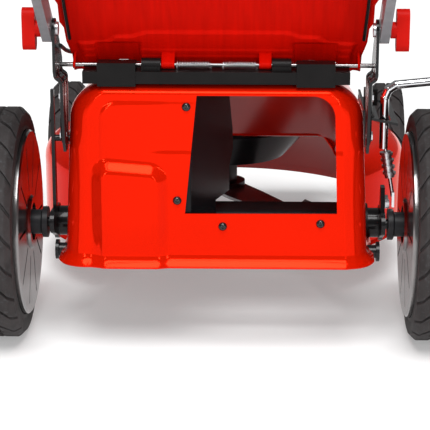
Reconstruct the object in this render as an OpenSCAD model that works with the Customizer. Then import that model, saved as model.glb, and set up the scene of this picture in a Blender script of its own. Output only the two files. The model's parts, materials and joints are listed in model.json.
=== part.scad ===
// Walk-behind lawn mower with a pressed steel deck, a rear chute under a hinged flap and a folding handle.
// X is to the operator's right, Y is forward, Z is up. Sub-parts are drawn with the rear axle at Y = 0.

/* [Wheels] */
// Outer diameter of each rear wheel
rear_wheel_d = 280; // [250:1:300]
// Outer diameter of each front wheel
front_wheel_d = 200; // [180:1:220]
// Width of a rear tyre
rear_tyre_w = 48; // [40:1:52]
// Width of a front tyre
front_tyre_w = 45; // [38:1:48]
// Distance from the middle plane to the inner side of a rear tyre
rear_tyre_x = 233; // [231:1:240]
// Distance from the middle plane to the inner side of a front tyre
front_tyre_x = 222; // [220:1:230]
// Distance between the front and rear axles
wheel_base = 560; // [550:1:570]

/* [Deck] */
// Radius of the round blade housing
bell_r = 250; // [240:1:252]
// Distance of the crankshaft in front of the rear axle
bell_y = 330; // [325:1:335]
// Height of the round housing's lower edge
bell_base = 65; // [60:1:75]
// Height of the engine deck
deck_top = 205; // [200:1:210]
// Thickness of the deck's steel sheet
sheet = 2; // [1.5:0.5:3]
// Distance of the rear wall behind the rear axle
wall_y = 75; // [70:1:80]
// Height of the chute box's lower edge
box_base = 110; // [105:1:115]
// Height of the chute box's top
box_top = 325; // [320:1:330]
// Half width of the chute box at its lower edge
box_half = 179; // [175:1:182]

/* [Flap] */
// Height of the flap's hinge rod
hinge_z = 345; // [343:1:348]
// Distance of the hinge rod behind the rear axle
hinge_y = 55; // [52:1:58]
// Angle of the raised flap above the horizontal
flap_angle = 60; // [50:1:65]
// Length of the flap below its hinge rod
flap_len = 215; // [200:1:225]

/* [Handle] */
// Height of the handle's pivot bolts
pivot_z = 393; // [388:1:398]
// Slope of the lower handle tubes
lower_slope = 37; // [35:1:39]
// Length of a lower handle tube between its bolts
lower_len = 385; // [380:1:390]
// Slope of the upper handle
upper_slope = 40; // [38:1:42]
// Length of the upper handle from its bolts to the crossbar
upper_len = 518; // [510:1:525]

/* [Cutting height] */
// Distance of the axle pivots in front of the axles
crank_y = 45; // [40:1:48]
// Distance of the axle pivots below the axles
crank_z = 11; // [8:1:14]
// Height of the link rod's pins above the pivots
link_z = 111; // [108:1:114]

/* [Blade] */
// Length of the blade from tip to tip
blade_len = 460; // [450:1:464]
// Height of the blade's flat middle
blade_z = 97; // [95:1:100]
// Direction of the blade at rest
blade_turn = -59; // [-90:1:90]

/* [Hidden] */
$fn = 64;
RED = "orangered";
BLACK = [0.09, 0.09, 0.1];
STEEL = "silver";
rear_z = rear_wheel_d / 2;
front_z = front_wheel_d / 2;
rear_pivot = [0, crank_y, rear_z - crank_z];
front_pivot = [0, wheel_base + crank_y, front_z - crank_z];
pivot_y = -95;
pin_fit = 0.08;
tube_half = 5.2;
tube_x = 188.4;
tube_out = tube_x + tube_half;
upper_x = 170;
upper_r = 11;
lever_x = 200;
link_x = 184;
origin_y = 77;
pivot_tube_r = 18.4;
bush_r = 24;
tie_y = -12;
tie_z = 109;
tie_r = 8;
bolt_circle = 88;
bolt_hole_r = 4.2;
lower_end = [pivot_y - lower_len * cos(lower_slope), pivot_z + lower_len * sin(lower_slope)];
grip_at = [lower_end[0] - upper_len * cos(upper_slope), lower_end[1] + upper_len * sin(upper_slope)];
bail_s = upper_len - 88;
bail_at = [lower_end[0] - bail_s * cos(upper_slope), lower_end[1] + bail_s * sin(upper_slope)];

// ---- shared shapes ----

// A box between two corners
module block(low, high) {
    translate(low) cube(high - low);
}

// A round bar along X between two distances, at a point of the Y-Z plane
module bar_x(y, z, r, x0, x1) {
    translate([x0, y, z]) rotate([0, 90, 0]) cylinder(h = x1 - x0, r = r);
}

// A round bar between two points
module rod(p, q, r) {
    span = q - p;
    translate(p) rotate([0, acos(span[2] / norm(span)), atan2(span[1], span[0])])
        cylinder(h = norm(span), r = r);
}

// A round bar through a list of points, with ball corners
module bent_rod(route, r) {
    for (i = [0 : len(route) - 2]) rod(route[i], route[i + 1], r);
    for (i = [1 : 1 : len(route) - 2]) translate(route[i]) sphere(r = r + 0.15, $fn = 24);
}

// A plate in the Y-Z plane from x0, with its outline given as [y, z] points
module plate_x(x0, thick, outline) {
    translate([x0, 0, 0]) rotate([90, 0, 90]) linear_extrude(thick) polygon(outline);
}

// Children on one side of the mower, or mirrored to the other
module side_of(side) {
    if (side > 0) children();
    else mirror([1, 0, 0]) children();
}

// A hexagon bolt head or nut that stands along +X from x = 0
module hex_x(across, thick) {
    rotate([0, 90, 0]) cylinder(h = thick, r = across / sqrt(3), $fn = 6);
}

// ---- deck ----

shoulder_r = 30;
ring_z = 180;
function bell_profile(inset) = [
    [0, bell_base - inset],
    [bell_r - inset, bell_base - inset],
    for (a = [0 : 15 : 90])
        [bell_r - shoulder_r + (shoulder_r - inset) * cos(a),
            ring_z - shoulder_r + (shoulder_r - inset) * sin(a)],
    [202 - inset, ring_z - inset],
    [184 - inset, deck_top - inset],
    [0, deck_top - inset],
];

module bell(inset) {
    translate([0, bell_y, 0]) rotate_extrude($fn = 128) polygon(bell_profile(inset));
}

corner_r = 44;
edge_r = 15;
module box_corner(half, y, top, inset) {
    translate([half - corner_r, y, top - corner_r]) rotate([90, 0, 0])
        rotate_extrude($fn = 48) translate([corner_r - edge_r, 0]) circle(r = edge_r - inset, $fn = 32);
}

module chute_box(inset) {
    drop = inset > 0 ? 6 : 0;
    hull() for (s = [-1, 1]) {
        side_of(s) box_corner(171, edge_r - wall_y, box_top, inset);
        side_of(s) box_corner(166, 60, box_top - 6, inset);
        translate([s * (box_half - edge_r), edge_r - wall_y, box_base - drop])
            cylinder(r = edge_r - inset, h = 1, $fn = 32);
        translate([s * (box_half - edge_r), 150, box_base - drop])
            cylinder(r = edge_r - inset, h = 1, $fn = 32);
        translate([s * 150, 205, box_base - drop]) cylinder(r = edge_r - inset, h = 1, $fn = 32);
        translate([s * (150 - edge_r), 205, deck_top - edge_r - 3]) sphere(r = edge_r - inset, $fn = 32);
    }
}

apron_half = 176;
module front_apron() {
    plate_x(-apron_half, 2 * apron_half, [[470, 176], [560, 168], [628, 128], [638, 78], [640, 78],
        [640.5, 128], [562, 171], [470, 180]]);
    for (s = [-1, 1]) plate_x(s * (apron_half - 1) - 1, 2, [[500, 150], [500, 176], [560, 169], [629, 128],
        [640, 78], [560, 120]]);
}

opening_r = 26;
module discharge_opening() {
    rotate([90, 0, 0]) linear_extrude(40, center = true) polygon([[-22, 313], [-36, 173], [141, 174],
        for (a = [0 : 15 : 90]) [111 + opening_r * cos(a), 287 + opening_r * sin(a)]]);
}

module wall_lip() {
    difference() {
        block([-188, -wall_y - 8, box_base], [188, 70, box_base + 2.5]);
        block([-box_half + 5, -wall_y + 4, box_base - 1], [box_half - 5, 80, box_base + 4]);
        for (s = [-1, 1]) translate([s * 190, -wall_y - 10, box_base - 1]) rotate([0, 0, 45])
            cube([9, 9, 20], center = true);
    }
}

module deck_housing() color(RED) {
    difference() {
        union() {
            bell(0);
            chute_box(0);
        }
        bell(sheet);
        chute_box(sheet);
        translate([0, -wall_y, 0]) discharge_opening();
        bar_x(rear_pivot[1], rear_pivot[2], bush_r + 0.2, -200, 200);
        bar_x(tie_y, tie_z, tie_r + 0.3, -200, 200);
        translate([0, bell_y, deck_top - 10]) cylinder(r = 34, h = 20);
        for (a = [30, 150, 270]) translate([0, bell_y, deck_top - 10]) rotate(a)
            translate([bolt_circle, 0, 0]) cylinder(r = bolt_hole_r, h = 20);
    }
    difference() {
        wall_lip();
        bar_x(rear_pivot[1], rear_pivot[2], bush_r + 0.2, -200, 200);
        bar_x(tie_y, tie_z, tie_r + 0.3, -200, 200);
    }
    translate([0, bell_y, bell_base - sheet]) difference() {
        cylinder(r = bell_r + 5, h = sheet + 1, $fn = 128);
        translate([0, 0, -1]) cylinder(r = bell_r - sheet, h = sheet + 4, $fn = 128);
    }
    difference() {
        front_apron();
        bell(0);
        bar_x(front_pivot[1], front_pivot[2], 10.2, -200, 200);
    }
}

module chute_liner() color(BLACK) {
    // Side guide from the opening's left edge towards the blade
    translate([-32, -wall_y + sheet + 0.9, 0]) rotate([0, 0, -18]) rotate([90, 0, 90]) linear_extrude(2.5)
        polygon([[0, 145], [88, 145], [88, 166], [138, 166], [138, 197], [152, 217], [150, 243], [138, 285],
            [110, 302], [0, 313]]);
    // Cone over the blade hub that turns the cuttings outwards
    translate([0, bell_y, 0]) rotate_extrude() polygon([[72, 150], [86, 150], [128, 196],
        [128, deck_top - sheet], [125, deck_top - sheet], [125, 198], [84, 153], [72, 153]]);
}

module axle_tunnel() color(BLACK) difference() {
    block([-172, 18, 114], [172, 74, 162]);
    block([-180, 20, 100], [180, 72, 160]);
}

module chute_screws() color(BLACK) {
    for (at = [[-34, 300], [-45, 189], [8, 158], [122, 162]])
        translate([at[0], -wall_y, at[1]]) rotate([90, 0, 0]) {
            cylinder(r = 4.6, h = 1.2, $fn = 32);
            cylinder(r1 = 3.8, r2 = 2.2, h = 2.8, $fn = 32);
        }
}

// ---- flap hinge ----

rod_r = 2.6;
rod_bore = rod_r + pin_fit;
module hinge_bar() color(BLACK) difference() {
    union() {
        block([-153, -73, 326], [153, -38, 340]);
        for (s = [-1, 1]) {
            side_of(s) block([92, -74, 323], [136, -50, 350]);
            side_of(s) bar_x(-hinge_y, hinge_z, 8, 64, 86);
            side_of(s) block([64, -66, 338], [86, -44, 345]);
        }
    }
    bar_x(-hinge_y, hinge_z, rod_r, -160, 160);
    chute_box(0);
}

module hinge_rod() color(STEEL) bar_x(-hinge_y, hinge_z, rod_r, -184, 184);

spring_wire = 0.8;
module spring_coil(x0, x1) {
    turns = floor((x1 - x0) / (2 * spring_wire));
    translate([x0, -hinge_y, hinge_z]) rotate([0, 90, 0]) rotate_extrude($fn = 32) {
        for (i = [0 : turns - 1])
            translate([rod_r + 1.1, (2 * i + 1) * spring_wire]) circle(r = spring_wire, $fn = 16);
        translate([rod_r + 0.7, 0]) square([0.8, 2 * turns * spring_wire]);
    }
}

module flap_springs() color(STEEL) {
    spring_coil(-45, -6);
    spring_coil(8, 47);
}

flap_off = 20.5;
flap_low = -24.5;
flap_thick = 2.5;
cheek_deep = 28;
knuckle_r = rod_r + 1.9;
// The flap is drawn with the rod along X through its origin and +Y down its length, then it is raised
module at_flap() {
    translate([0, -hinge_y, hinge_z]) rotate([180 - flap_angle, 0, 0]) children();
}

module flap_outline() {
    notches = [[-137, -90], [-87, -62], [-47, -5], [7, 48], [63, 88], [91, 138]];
    difference() {
        polygon([[-165, flap_low], [165, flap_low], [166, 14], [171, 38], [171, flap_len - 20],
            [150, flap_len], [-150, flap_len], [-171, flap_len - 20], [-171, 38], [-166, 14]]);
        for (n = notches) translate([n[0], flap_low - 1]) square([n[1] - n[0], 16]);
    }
}

// A web from the flap's sheet to an eye around the rod
module flap_knuckle(x0, thick) {
    translate([x0, 0, 0]) rotate([90, 0, 90]) linear_extrude(thick)
        polygon([[-14, -flap_off - 1], [9, -flap_off - 1], [knuckle_r, 0],
            for (a = [30 : 30 : 150]) [knuckle_r * cos(a), knuckle_r * sin(a)], [-knuckle_r, 0]]);
}

module flap_cheek() {
    translate([168.6, 0, -flap_off - flap_thick]) rotate([0, 22, 0]) rotate([90, 0, 90]) linear_extrude(2.5)
        polygon([[84, 0], [97, 3], [104, cheek_deep], [flap_len - 44, cheek_deep], [flap_len - 20, 0]]);
}

module rear_flap() color("firebrick") at_flap() {
    difference() {
        union() {
            translate([0, 0, -flap_off - flap_thick]) linear_extrude(flap_thick) flap_outline();
            for (s = [-1, 1]) side_of(s) {
                flap_knuckle(162.5, 2.5);
                flap_knuckle(49.5, 11);
                flap_cheek();
            }
        }
        bar_x(0, 0, rod_bore, -170, 170);
    }
}

// ---- handle brackets ----

bracket_thick = 3.5;
bracket_in = 179;
module handle_bracket() color(BLACK) difference() {
    union() {
        plate_x(bracket_in, bracket_thick, [[-108, 345], [-98, 336], [-42, 336], [-40, 350],
            for (a = [30 : 20 : 210]) [pivot_y + 12 * cos(a), pivot_z + 12 * sin(a)]]);
        plate_x(172.5, bracket_thick, [[-96, 336], [-44, 336], [-52, 262], [-62, 247], [-78, 247],
            [-88, 262]]);
        block([172.5, -97, 333], [bracket_in + bracket_thick, -43, 337]);
        for (y = [-84, -58]) {
            bar_x(y, 300, 4, 175, 178);
            block([176, y - 3, 262], [178, y + 3, 333]);
        }
    }
    bar_x(-hinge_y, hinge_z, rod_r, 170, 190);
    bar_x(pivot_y, pivot_z, 4.1, 170, 190);
    for (z = [266, 312]) bar_x(-71, z, 3.1, 170, 190);
}

module left_handle_bracket() mirror([1, 0, 0]) handle_bracket();

module right_handle_bracket() handle_bracket();

module bracket_bolts() color(STEEL) for (s = [-1, 1], z = [266, 312]) side_of(s) {
    bar_x(-71, z, 3, 172.5, 176);
    translate([176, -71, z]) hex_x(10, 4);
}

// ---- cutting height ----

slot_far = 116;
module height_quadrant() color(BLACK) difference() {
    union() {
        plate_x(174, 3, [[4, 235], [4, 281], [124, 281], [124, 258], [60, 225]]);
        translate([174, 4, 270]) rotate([0, 12, 0]) cube([42, 120, 3]);
        block([166, 20, 240], [174, 50, 270]);
    }
    for (y = [16, slot_far]) translate([lever_x, y, 200]) cylinder(r = 7.5, h = 100);
    block([lever_x - 7.5, 16, 200], [lever_x + 7.5, slot_far, 300]);
    chute_box(0);
}

module lever_guide_block() color(BLACK) {
    block([177.5, 50, 276], [193.4, 66, 296]);
    translate([187, 50, 284]) rotate([90, 0, 0]) cylinder(r = 4, h = 2, $fn = 32);
}

module tie_bar() color(BLACK) {
    bar_x(tie_y, tie_z, tie_r, -192, 192);
    for (s = [-1, 1]) side_of(s) bar_x(tie_y, tie_z, tie_r + 4, 192, 196);
}

module axle_bushes() color(BLACK) for (s = [-1, 1]) side_of(s) {
    difference() {
        bar_x(rear_pivot[1], rear_pivot[2], bush_r, 166, 184);
        bar_x(rear_pivot[1], rear_pivot[2], pivot_tube_r + pin_fit, 160, 190);
    }
    difference() {
        bar_x(front_pivot[1], front_pivot[2], 13, 176, 182);
        bar_x(front_pivot[1], front_pivot[2], 8 + pin_fit, 170, 190);
    }
}

crank_in = 198;
module crank_plate(pivot, hub_r, thick) {
    bar_x(pivot[1], pivot[2], hub_r, crank_in, crank_in + thick);
    bar_x(pivot[1] - crank_y, pivot[2] + crank_z, 14, crank_in, crank_in + thick);
    plate_x(crank_in, thick, [[pivot[1] - crank_y, pivot[2] + crank_z - 14], [pivot[1], pivot[2] - hub_r],
        [pivot[1], pivot[2] + hub_r], [pivot[1] - crank_y, pivot[2] + crank_z + 14]]);
}

spindle_r = 6;
module rear_axle() color(BLACK) {
    bar_x(rear_pivot[1], rear_pivot[2], pivot_tube_r, -crank_in, crank_in);
    for (s = [-1, 1]) side_of(s) {
        crank_plate(rear_pivot, 22, 5);
        bar_x(0, rear_z, spindle_r, crank_in + 4, 272.6);
    }
    // arm on the left crank that carries the link rod
    plate_x(-crank_in - 4, 4, [[14, 150], [30, 150], [25, 300], [17, 300]]);
    link_pin(rear_pivot);
    // ear on the right crank that carries the lever
    plate_x(crank_in, 5, [[8, 148], [34, 148], [28, 182], [14, 182]]);
}

module link_pin(pivot) {
    bar_x(pivot[1] - 24, pivot[2] + link_z, 4, -crank_in, -link_x + 5);
}

module front_axle() color(BLACK) {
    bar_x(front_pivot[1], front_pivot[2], 8, -crank_in, crank_in);
    for (s = [-1, 1]) side_of(s) {
        crank_plate(front_pivot, 14, 5);
        bar_x(wheel_base, front_z, spindle_r, crank_in + 4, 258);
    }
    link_top = front_pivot[2] + link_z + 7;
    plate_x(-crank_in - 4, 4, [[front_pivot[1] - 12, front_pivot[2]], [front_pivot[1] + 12, front_pivot[2]],
        [front_pivot[1] - 18, link_top], [front_pivot[1] - 30, link_top]]);
    link_pin(front_pivot);
}

module link_rod() color(BLACK) {
    back = [-link_x, rear_pivot[1] - 24, rear_pivot[2] + link_z];
    front = [-link_x, front_pivot[1] - 24, front_pivot[2] + link_z];
    difference() {
        union() {
            rod(back, front, 3);
            for (p = [back, front]) bar_x(p[1], p[2], 8, -link_x - 3, -link_x + 3);
        }
        for (p = [back, front]) bar_x(p[1], p[2], 4 + pin_fit, -link_x - 10, -link_x + 10);
    }
}

lever_r = 5.3;
// The thin lower rod leans outwards as it goes down
function on_lever(z) = [lever_x + 2 + (232 - z) * 0.177, 20, z];
module height_lever() color(STEEL) {
    bent_rod([[lever_x, 20, 230], [lever_x, 20, 292], [204, 20, 302], [213, 20, 308], [262, 20, 313],
        [267.4, 20, 338.8]], lever_r);
    rod(on_lever(232), on_lever(170), 2.4);
    plate_x(lever_x + 11.5, 3, [[12, 158], [28, 158], [26, 176], [14, 176]]);
}

module lever_sleeve() color(STEEL) {
    difference() {
        union() {
            rod(on_lever(226), on_lever(194), 6);
            for (z = [198 : 8 : 222]) translate(on_lever(z)) cylinder(r = 8, h = 3);
        }
        rod(on_lever(234), on_lever(187), 2.45);
    }
    for (at = [[10, 166], [30, 166]]) translate([crank_in + 5, at[0], at[1] - 3]) hex_x(10, 5);
}

module lever_grip() color(BLACK) translate([268, 20, 340]) rotate([0, 6, 0]) {
    cylinder(r1 = 9, r2 = 12, h = 50);
    translate([0, 0, 50]) sphere(r = 12);
}

// ---- wheels ----

// Wheels are drawn on the right with x measured outwards
module on_rear(side) side_of(side) translate([0, 0, rear_z]) children();

module on_front(side) side_of(side) translate([0, wheel_base, front_z]) children();

module turned_x(outline) {
    rotate([0, 90, 0]) rotate_extrude($fn = 96) polygon([for (p = outline) [p[1], p[0]]]);
}

module tyre(x0, width, r, bead_r, lugs) {
    x1 = x0 + width;
    chamfer = 7;
    difference() {
        turned_x([[x0, bead_r], [x0, r - chamfer], [x0 + chamfer, r], [x1 - chamfer, r], [x1, r - chamfer],
            [x1, bead_r]]);
        for (i = [0 : lugs - 1], s = [0, 1]) rotate([(i + s / 2) * 360 / lugs, 0, 0])
            translate([x0 - 1 + s * (width / 2 + 3), -2, r - 4]) cube([width / 2 - 1, 4, 8]);
    }
}

rear_bead = 113;
module rear_tyre(side) color([0.16, 0.16, 0.17]) on_rear(side)
    tyre(rear_tyre_x, rear_tyre_w, rear_wheel_d / 2, rear_bead, 26);

front_bead = 74;
module front_tyre(side) color([0.16, 0.16, 0.17]) on_front(side)
    tyre(front_tyre_x, front_tyre_w, front_wheel_d / 2, front_bead, 22);

module rim(x0, width, bead_r, hub_x, windows) {
    x1 = x0 + width;
    web = x1 - 16;
    difference() {
        union() {
            turned_x([[x0 + 6, bead_r - 4], [x0 + 6, bead_r], [x1, bead_r], [x1, bead_r - 4]]);
            turned_x([[web, 8], [web, bead_r - 2], [web + 4, bead_r - 2], [web + 4, 8]]);
            turned_x([[hub_x, spindle_r + pin_fit], [hub_x, 19], [hub_x + 6, 19], [hub_x + 8, 15],
                [x0 - 4, 15], [x0 - 2, 22], [web + 1, 24], [web + 8, 22], [web + 8, spindle_r + pin_fit]]);
        }
        for (i = [0 : windows - 1]) rotate([i * 360 / windows, 0, 0])
            translate([web - 2, 0, (bead_r + 20) / 2]) rotate([0, 90, 0]) cylinder(r = bead_r / 7, h = 10);
    }
    turned_x([[web + 8, 0], [web + 8, 20], [web + 11, 17], [web + 11, 0]]);
}

module rear_rim(side) color(BLACK) on_rear(side) rim(rear_tyre_x, rear_tyre_w, rear_bead, 206, 8);

module front_rim(side) color("gainsboro")
    on_front(side) rim(front_tyre_x, front_tyre_w, front_bead, 206, 6);

disc_x = 227;
disc_r = 112;
module dust_disc(side) color("gainsboro") on_rear(side) {
    difference() {
        union() {
            turned_x([[disc_x, 24], [disc_x, disc_r - 2], [disc_x + 2, disc_r - 2], [disc_x + 2, 24]]);
            turned_x([[disc_x, disc_r - 5], [disc_x, disc_r - 2], [disc_x + 2, disc_r],
                [disc_x + 10, disc_r], [disc_x + 10, disc_r - 5]]);
            turned_x([[disc_x - 3, 23], [disc_x - 3, 31], [disc_x + 1, 34], [disc_x + 1, 23]]);
        }
        for (i = [0 : 9]) rotate([i * 36 + 14, 0, 0]) translate([disc_x - 1, -1.6, 42]) cube([5, 3.2, 58]);
    }
}

// ---- cutting gear ----

module crankshaft() color(STEEL) translate([0, bell_y, 0]) {
    translate([0, 0, blade_z + 26]) cylinder(r = 12.5, h = 339 - blade_z - 26);
    translate([0, 0, 339]) cylinder(r = 9, h = 40);
}

module flywheel() color("dimgray") translate([0, bell_y, 340]) difference() {
    union() {
        cylinder(r = 84, h = 12);
        for (i = [0 : 15]) rotate(i * 22.5) translate([56, -1.5, 11]) cube([26, 3, 20]);
        cylinder(r = 24, h = 30);
    }
    translate([0, 0, -2]) cylinder(r = 9, h = 40);
}

module blade_adapter() color("gray") translate([0, bell_y, 0]) difference() {
    union() {
        translate([0, 0, blade_z + 4]) cylinder(r = 30, h = 7);
        translate([0, 0, blade_z + 4]) cylinder(r = 19, h = 52);
    }
    translate([0, 0, blade_z + 26]) cylinder(r = 12.5, h = 60);
    translate([0, 0, blade_z]) cylinder(r = 5.5, h = 40);
}

module blade_half() {
    half = blade_len / 2;
    linear_extrude(4) polygon([[0, -26], [60, -26], [100, -22], [half - 12, -22], [half, -14], [half, 14],
        [half - 70, 24], [60, 28], [0, 28]]);
    translate([half - 66, 12, 0]) rotate([32, 0, 0]) cube([60, 26, 4]);
}

module blade() color([0.15, 0.15, 0.16]) translate([0, bell_y, blade_z]) rotate(blade_turn) difference() {
    union() {
        blade_half();
        rotate(180) blade_half();
    }
    translate([0, 0, -5]) cylinder(r = 5.5, h = 20);
}

module blade_bolt() color(STEEL) translate([0, bell_y, 0]) {
    translate([0, 0, blade_z - 9]) cylinder(r = 10, h = 6, $fn = 6);
    translate([0, 0, blade_z - 3]) cylinder(r = 17, h = 3);
    translate([0, 0, blade_z]) cylinder(r = 5.4, h = 25);
}

// ---- engine ----

module engine_block() color("silver") translate([0, bell_y, 0]) difference() {
    union() {
        translate([0, 0, deck_top]) cylinder(r = 100, h = 10);
        translate([0, 0, deck_top + 10]) cylinder(r = 80, h = 62);
        translate([0, 0, deck_top + 72]) cylinder(r1 = 80, r2 = 60, h = 22);
        block([-42, 60, deck_top + 12], [42, 130, deck_top + 88]);
        for (y = [103 : 8 : 126]) block([-56, y, deck_top + 14], [56, y + 3, deck_top + 91]);
        translate([-78, -30, deck_top + 40]) cylinder(r = 13, h = 36);
    }
    translate([0, 0, deck_top - 1]) cylinder(r = 12.5 + pin_fit, h = 120);
    translate([-78, -30, deck_top + 60]) cylinder(r = 8.5, h = 30);
    translate([-78, -30, deck_top + 76]) cylinder(r = 15, h = 30);
    for (a = [30, 150, 270]) rotate(a) translate([bolt_circle, 0, deck_top - 1])
        cylinder(r = bolt_hole_r, h = 20);
}

module cylinder_head() color("silver") translate([0, bell_y, deck_top]) {
    block([-46, 130, 10], [46, 152, 90]);
    for (z = [8 : 9 : 82]) block([-58, 130, z], [58, 158, z + 3]);
    block([-34, 152, 20], [34, 176, 80]);
}

shroud_z = deck_top + 96;
module blower_shroud() color(BLACK) translate([0, bell_y, 0]) difference() {
    union() {
        translate([0, 0, shroud_z + 2]) cylinder(r = 104, h = 72);
        translate([0, 0, shroud_z + 74]) cylinder(r1 = 104, r2 = 88, h = 16);
        block([-70, 60, shroud_z + 4], [70, 168, shroud_z + 62]);
    }
    translate([0, 0, shroud_z]) cylinder(r = 101, h = 72);
    block([-67, 50, shroud_z - 2], [67, 165, shroud_z + 59]);
    translate([0, 0, shroud_z + 60]) cylinder(r = 72, h = 40);
}

recoil_z = deck_top + 187;
module recoil_cover() color(BLACK) translate([0, bell_y, recoil_z]) difference() {
    union() {
        cylinder(r = 84, h = 22);
        translate([0, 0, 22]) cylinder(r1 = 84, r2 = 60, h = 12);
        translate([30, -92, 4]) cube([26, 34, 18]);
    }
    translate([0, 0, -1]) cylinder(r = 80, h = 20);
    for (i = [0 : 17]) rotate(i * 20) translate([34, -2, 10]) cube([32, 4, 40]);
    translate([43, -100, 12]) rotate([-90, 0, 0]) cylinder(r = 3, h = 80);
}

module starter_grip() color(BLACK) translate([43, bell_y - 94, recoil_z + 12]) {
    translate([-36, -16, 0]) rotate([0, 90, 0]) cylinder(r = 9, h = 72);
    rotate([90, 0, 0]) cylinder(r = 8, h = 12);
    rotate([-90, 0, 0]) cylinder(r = 2.2, h = 90);
}

module fuel_tank() color(BLACK) difference() {
    union() {
        hull() for (x = [-96, 96], z = [306, 376]) translate([x, 196, z]) rotate([90, 0, 0])
            cylinder(r = 16, h = 44, center = true, $fn = 32);
        translate([-62, 196, 386]) cylinder(r = 20, h = 16);
    }
    translate([-62, 196, 384]) cylinder(r = 15, h = 30);
}

module fuel_cap() color("firebrick") translate([-62, 196, 402.5]) {
    cylinder(r = 24, h = 12);
    for (i = [0 : 11]) rotate(i * 30) translate([23.5, 0, 0]) cylinder(r = 1.6, h = 12, $fn = 16);
}

module dipstick() color(BLACK) translate([-78, bell_y - 30, deck_top + 76.5]) {
    cylinder(r = 12, h = 8);
    translate([0, 0, 8]) block([-14, -3, 0], [14, 3, 9]);
    translate([0, 0, -16]) cylinder(r = 7.5, h = 17);
}

module muffler() color("dimgray") {
    difference() {
        block([62, 400, 220], [134, 476, 296]);
        block([64, 402, 222], [132, 474, 294]);
        for (z = [232 : 10 : 284]) block([128, 410, z], [140, 466, z + 4]);
    }
    rod([56.5, 446, 262], [66, 446, 262], 12);
}

module air_filter() color(BLACK) {
    block([-138, 396, 222], [-92, 474, 300]);
    block([-94, 410, 236], [-62, 456, 286]);
    rod([-64, 440, 256], [-56.5, 440, 256], 12);
}

module spark_plug() color("ivory") {
    rod([18, bell_y + 176.2, 250], [18, bell_y + 202, 250], 8);
    rod([18, bell_y + 196, 250], [18, bell_y + 200, 276], 6.5);
}

module engine_bolts() color(STEEL) for (a = [30, 150, 270]) translate([0, bell_y, 0]) rotate(a)
    translate([bolt_circle, 0, 0]) {
        translate([0, 0, deck_top - 6]) cylinder(r = 4, h = 17);
        translate([0, 0, deck_top + 10]) cylinder(r = 7.5, h = 6, $fn = 6);
    }

// ---- cables ----

cable_r = 2.5;
cable_sides = 10;
// The same route with each corner cut off, so that it bends in smaller steps
function corner_cut(route) = [
    route[0],
    for (i = [0 : len(route) - 2]) each [0.75 * route[i] + 0.25 * route[i + 1],
        0.25 * route[i] + 0.75 * route[i + 1]],
    route[len(route) - 1],
];

function unit(v) = v / norm(v);

// The ring of the cable's skin around one point of its path, square to the path
function cable_ring(path, i) =
    let (along = unit(path[min(i + 1, len(path) - 1)] - path[max(i - 1, 0)]),
        side = unit(cross(along, [0, 0, 1])), across = cross(side, along))
    [for (k = [0 : cable_sides - 1]) let (a = k * 360 / cable_sides)
        path[i] + cable_r * (cos(a) * side + sin(a) * across)];

module cable(route) {
    path = corner_cut(corner_cut(route));
    n = cable_sides;
    last = n * (len(path) - 1);
    polyhedron([for (i = [0 : len(path) - 1]) each cable_ring(path, i)], [
        [for (k = [n - 1 : -1 : 0]) k],
        for (i = [0 : n : last - n], k = [0 : n - 1]) let (next = (k + 1) % n)
            each [[i + k, i + next, i + n + next], [i + k, i + n + next, i + n + k]],
        [for (k = [0 : n - 1]) last + k],
    ]);
}

engine_stop_route = [[-175.5, -84, 372], [-175.5, -6, 350], [-153, 60, 338], [-151, 130, 331],
    [-148, 240, 325], [-110, 268, 320], [-105.5, 280, 318]];
module engine_stop_cable() color(BLACK) cable(engine_stop_route);

// ---- handle ----

// Children drawn with the lower handle's slope along their own +X, at the pivot bolts
module lower_tube() {
    wall = 1.6;
    outline = [for (a = [90 : 15 : 270]) [15 * cos(a), 15 * sin(a)],
        for (a = [-90 : 15 : 90]) [lower_len + 15 * cos(a), 15 * sin(a)]];
    difference() {
        translate([tube_x - tube_half, pivot_y, pivot_z]) rotate([180 - lower_slope, 0, 0])
            rotate([90, 0, 90]) linear_extrude(2 * tube_half) polygon(outline);
        translate([tube_x - tube_half + wall, pivot_y, pivot_z]) rotate([180 - lower_slope, 0, 0])
            rotate([90, 0, 90]) linear_extrude(2 * (tube_half - wall)) translate([0, wall - 15])
            square([lower_len + 40, 30 - 2 * wall]);
        bar_x(pivot_y, pivot_z, 4 + pin_fit, 170, 220);
        bar_x(lower_end[0], lower_end[1], 4 + pin_fit, 170, 220);
    }
}

module left_lower_handle() color("darkgray") mirror([1, 0, 0]) lower_tube();

module right_lower_handle() color("darkgray") lower_tube();

module handle_bolts() color(STEEL) for (s = [-1, 1]) side_of(s) {
    bar_x(pivot_y, pivot_z, 4, 176, 206);
    bar_x(pivot_y, pivot_z, 8, 176, 178.8);
    bar_x(pivot_y, pivot_z, 7.5, tube_out + 0.2, tube_out + 1.7);
    bar_x(lower_end[0], lower_end[1], 4, 156, tube_out + 7);
    bar_x(lower_end[0], lower_end[1], 8, 155, 158.8);
    translate([tube_out + 0.2, lower_end[0], lower_end[1]]) hex_x(13, 6);
}

knob_in = tube_out + 1.9;
module wing_knob() translate([knob_in, pivot_y, pivot_z]) difference() {
    union() {
        rotate([0, 90, 0]) cylinder(r = 9.3, h = 8);
        translate([6, -9, -15]) cube([14.5, 18, 30]);
        for (z = [-15, 15]) translate([6, 0, z]) rotate([0, 90, 0]) cylinder(r = 9, h = 14.5);
    }
    translate([-1, 0, 0]) rotate([0, 90, 0]) cylinder(r = 4 + pin_fit, h = 14);
}

module lower_left_knob() color("firebrick") mirror([1, 0, 0]) wing_knob();

module lower_right_knob() color("firebrick") wing_knob();

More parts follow.
